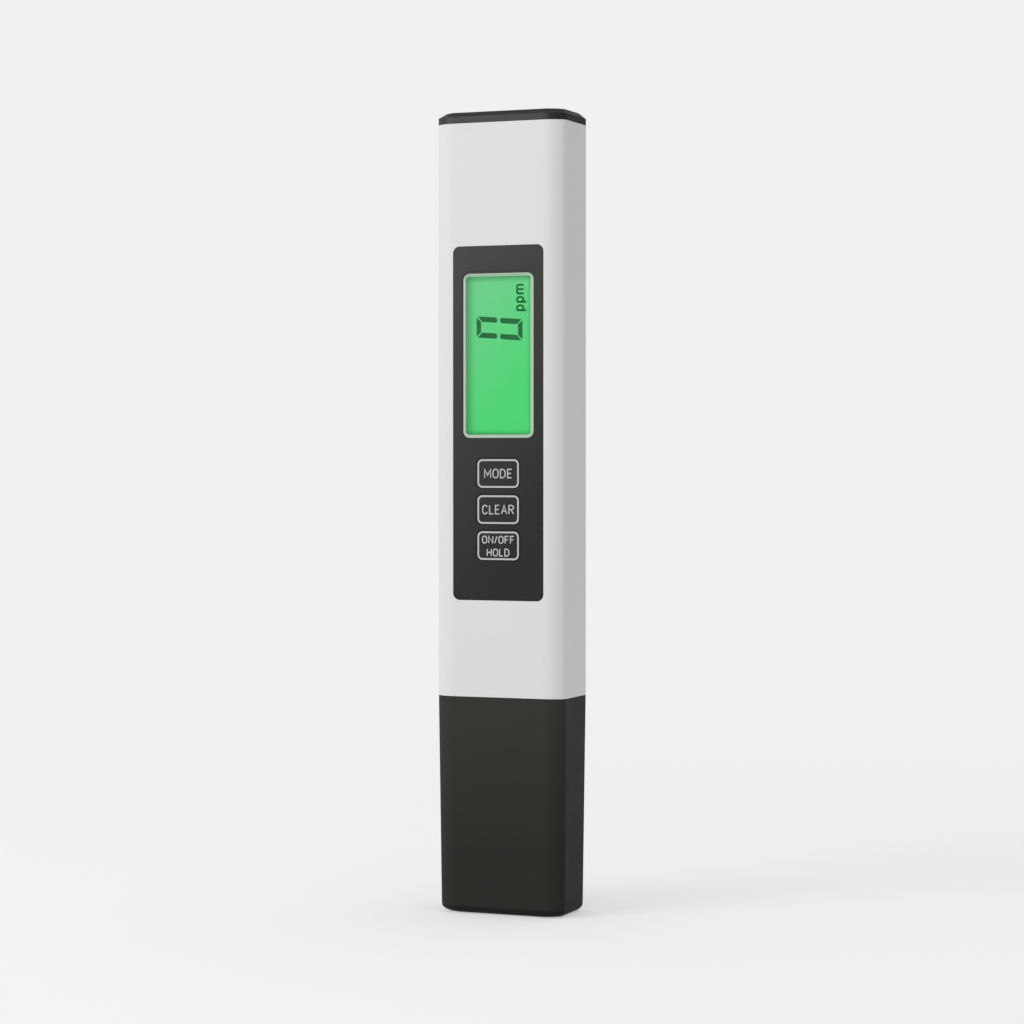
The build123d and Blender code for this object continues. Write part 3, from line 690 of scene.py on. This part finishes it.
def mask_window():
    """Dark border behind the lens, whose edge inside the trim is also painted shade of the recess,
    and pale line on its front, both printed just inside the trim.
    """
    lens_low, lens_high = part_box("display_lens")
    trim_low, trim_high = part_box("window_trim")
    middle = (0.0, (trim_low.z + trim_high.z) / 2)
    lens = (lens_high.x - lens_low.x, lens_high.z - lens_low.z)
    outer = (lens[0] - 2 * LENS_EDGE, lens[1] - 2 * LENS_EDGE, LENS_PRINT_RADIUS)
    opening = (trim_high.x - trim_low.x - 2 * TRIM_LINE, trim_high.z - trim_low.z - 2 * TRIM_LINE)
    inner = (opening[0] - 2 * MASK_REACH[0], opening[1] - 2 * MASK_REACH[1], OPENING_RADIUS)
    face = lens_high.y + 2 * INK
    # The border's edge inside the trim is painted shade of the display's recess
    print_ring("window_mask_and_shade", middle, outer, inner, face, MASK_PRINT_AND_SHADE, "meter")
    outer = (opening[0] - LIP_PLAY, opening[1] - LIP_PLAY, OPENING_RADIUS)
    inner = (opening[0] - 2 * LIP_PLAY, opening[1] - LIP - LIP_PLAY, OPENING_RADIUS - LIP_PLAY)
    drop = (0.0, (LIP_PLAY - LIP) / 2)
    print_ring("window_lip", middle, outer, inner, lens_low.y, LIP_PRINT_PAINTED_GLOW, "meter", drop)


def crown_ring(inset, corner, height):
    """Points round the pen's outline at a height, drawn in, with corners of this width and depth."""
    low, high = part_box("top_cap")
    turn = 2 * atan((CORNER[1] - SIDE_RADIUS) / (CORNER[0] - SIDE_RADIUS))
    wide = SIDE_RADIUS + (CORNER[0] - SIDE_RADIUS) / sin(turn)
    bend = arc(0, wide, wide, wide, -90, degrees(turn) - 90, CORNER_STEPS)
    tight = (CORNER[0] - SIDE_RADIUS, CORNER[1])
    bend += arc(*tight, SIDE_RADIUS, SIDE_RADIUS, degrees(turn) - 90, 0, CORNER_STEPS)[1:]
    across, along = corner[0] / CORNER[0], corner[1] / CORNER[1]
    x, y = high.x - inset[0] - corner[0], low.y + inset[1]
    quarter = [(x + u * across, y + v * along) for u, v in bend]
    back = [(u, -v) for u, v in reversed(quarter)]
    half = quarter + back
    ring = half + [(-u, -v) for u, v in half]
    return [(u, v, height) for u, v in ring]


def add_crown():
    """Chamfered crown of the top cap, slightly fuller than the solid under it."""
    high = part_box("top_cap")[1]
    mesh = bmesh.new()
    rings = []
    for inset, corner, height in (
        ((0, 0), CORNER, CROWN_FOOT),
        ((0, 0), CORNER, CROWN_BEND),
        (CROWN_INSET, CROWN_CORNER, high.z + INK / 2),
    ):
        rings.append([mesh.verts.new(point) for point in crown_ring(inset, corner, height)])
    count = len(rings[0])
    for lower, upper in zip(rings, rings[1:]):
        for i in range(count):
            j = (i + 1) % count
            mesh.faces.new((lower[i], lower[j], upper[j], upper[i]))
    mesh.faces.new(rings[0])
    mesh.faces.new(rings[-1]).material_index = 1
    crown = finish_piece(mesh, "top_cap_crown", TOP_FINISH, "top")
    crown.data.materials.append(FINISHES["black_plastic"])
    crown.data.shade_smooth()
    crown.data.set_sharp_from_angle(angle=radians(CROWN_EDGE))


def digit_segments():
    """Outlines of the six segments of a nought, in its own frame with v up."""
    w, h, t, g = DIGIT_WIDTH / 2, DIGIT_HEIGHT / 2, SEGMENT_STROKE, SEGMENT_GAP
    foot = h - SEGMENT_END
    level = [(-w + g, h), (w - g, h), (w - t, foot), (-w + t, foot)]
    outlines = [level, [(-u, -v) for u, v in level]]
    for side in (-1, 1):
        tip = MIDDLE_GAP / 2 + side * MIDDLE_SHIFT
        slope = tip + t / 4
        upright = [(w, h - g), (w, slope), (w - t / 2, tip), (w - t, slope), (w - t, foot - g)]
        outlines += [[(turn * u, side * v) for u, v in upright] for turn in (-1, 1)]
    return outlines


def draw_display():
    """Nought and unit on the display glass, both turned to read up the pen."""
    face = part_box("lcd_glass")[0].y
    lean = tan(radians(DIGIT_SLANT))
    mesh = bmesh.new()
    for outline in digit_segments():
        turned = [(DIGIT_MIDDLE[0] - v, DIGIT_MIDDLE[1] + u + v * lean) for u, v in outline]
        add_prism(mesh, turned, face - INK, face)
    finish_piece(mesh, "display_digit", SEGMENT_INK, "meter")
    strokes = []
    for points, closed in word_strokes("ppm", *UNIT_SIZE, UNIT_STROKE, UNIT_GAP):
        strokes.append(([(UNIT_MIDDLE[0] - z, UNIT_MIDDLE[1] + x) for x, z in points], closed))
    mesh = stroke_mesh(strokes, UNIT_STROKE, face)
    finish_piece(mesh, "display_unit", UNIT_INK, "meter")


def add_camera():
    """Camera at the photograph's place."""
    data = bpy.data.cameras.new("camera")
    data.lens = CAMERA_LENS
    data.sensor_width = CAMERA_SENSOR
    data.clip_start = CAMERA_NEAR
    camera = add_object("camera", data)
    camera.location = CAMERA_PLACE
    camera.rotation_euler = (radians(90 - CAMERA_DIP), 0, radians(CAMERA_TURN))
    bpy.context.scene.camera = camera


def ray_kinds(tree, first, *others):
    """1 for rays of any of these kinds, otherwise 0."""
    path = new_node(tree, "ShaderNodeLightPath").outputs
    total = path[first]
    for kind in others:
        total = calculate(tree, "MAXIMUM", total, path[kind])
    return total


def mix_shaders(tree, amount, first, second):
    """Shader that runs from the first to the second with the amount."""
    return new_node(tree, "ShaderNodeMixShader", {0: amount, 1: first, 2: second}).outputs["Shader"]


def add_world():
    """Even studio light, with the pale background for what is seen directly."""
    world = bpy.data.worlds.new("studio")
    bpy.context.scene.world = world
    world.use_nodes = True
    tree = world.node_tree
    view = separate(tree, new_node(tree, "ShaderNodeTexCoord").outputs["Generated"])
    sideways = spread(tree, view["X"], BACKGROUND, MIRROR_RIGHT, *MIRROR_SIDEWAYS)
    upward = spread(tree, view["Z"], 1, MIRROR_ABOVE, *MIRROR_UPWARD)
    mirrored = calculate(tree, "MULTIPLY", sideways, upward)
    values = {"Factor": ray_kinds(tree, "Is Glossy Ray"), "A": BACKGROUND, "B": mirrored}
    level = new_node(tree, "ShaderNodeMix", values).outputs["Result"]
    feed(tree, tree.nodes["Background"], {"Color": (1, 1, 1), "Strength": level})


def add_floor():
    """Pale floor that keeps the pen's shadow and runs into the background."""
    mesh = bmesh.new()
    bmesh.ops.create_circle(mesh, cap_ends=True, segments=FLOOR_SIDES, radius=FLOOR_RADIUS)
    finish, tree, shader = new_finish("floor_finish")
    tree.nodes.remove(shader)
    bounce = new_node(tree, "ShaderNodeBsdfDiffuse", {"Color": (FLOOR_BOUNCE,) * 3}).outputs["BSDF"]
    shaded = new_node(tree, "ShaderNodeBsdfDiffuse", {"Color": (FLOOR_SHADE,) * 3}).outputs["BSDF"]
    glow = new_node(tree, "ShaderNodeEmission", {"Strength": FLOOR_GLOW}).outputs["Emission"]
    near = new_node(tree, "ShaderNodeAddShader", {0: shaded, 1: glow}).outputs["Shader"]
    far = new_node(tree, "ShaderNodeEmission", {"Strength": BACKGROUND}).outputs["Emission"]
    fade = spread(tree, vector_length(tree, object_place(tree)), 0, 1, *FLOOR_FADE)
    seen = mix_shaders(tree, fade, near, far)
    rays = ray_kinds(tree, "Is Camera Ray", "Is Glossy Ray", "Is Transmission Ray")
    feed(tree, tree.nodes["Material Output"], {"Surface": mix_shaders(tree, rays, bounce, seen)})
    floor = mesh_object(mesh, "floor", finish)
    floor.location.z = -FLOOR_DROP


def add_key_light():
    """Large soft lamp from the front left."""
    data = bpy.data.lights.new("key_light", "AREA")
    data.shape = "RECTANGLE"
    data.size = KEY_WIDTH
    data.size_y = KEY_HEIGHT
    data.energy = KEY_POWER
    lamp = add_object("key_light", data)
    level = KEY_DISTANCE * cos(radians(KEY_RISE))
    lamp.location = (
        level * sin(radians(KEY_TURN)),
        -level * cos(radians(KEY_TURN)),
        KEY_DISTANCE * sin(radians(KEY_RISE)) + KEY_AIM,
    )
    lamp.rotation_euler = (radians(90 - KEY_RISE), 0, radians(KEY_TURN))


bpy.context.scene.view_settings.view_transform = "Standard"
dress_nodes()
print_keys()
mask_window()
add_crown()
draw_display()
add_camera()
add_world()
add_floor()
add_key_light()
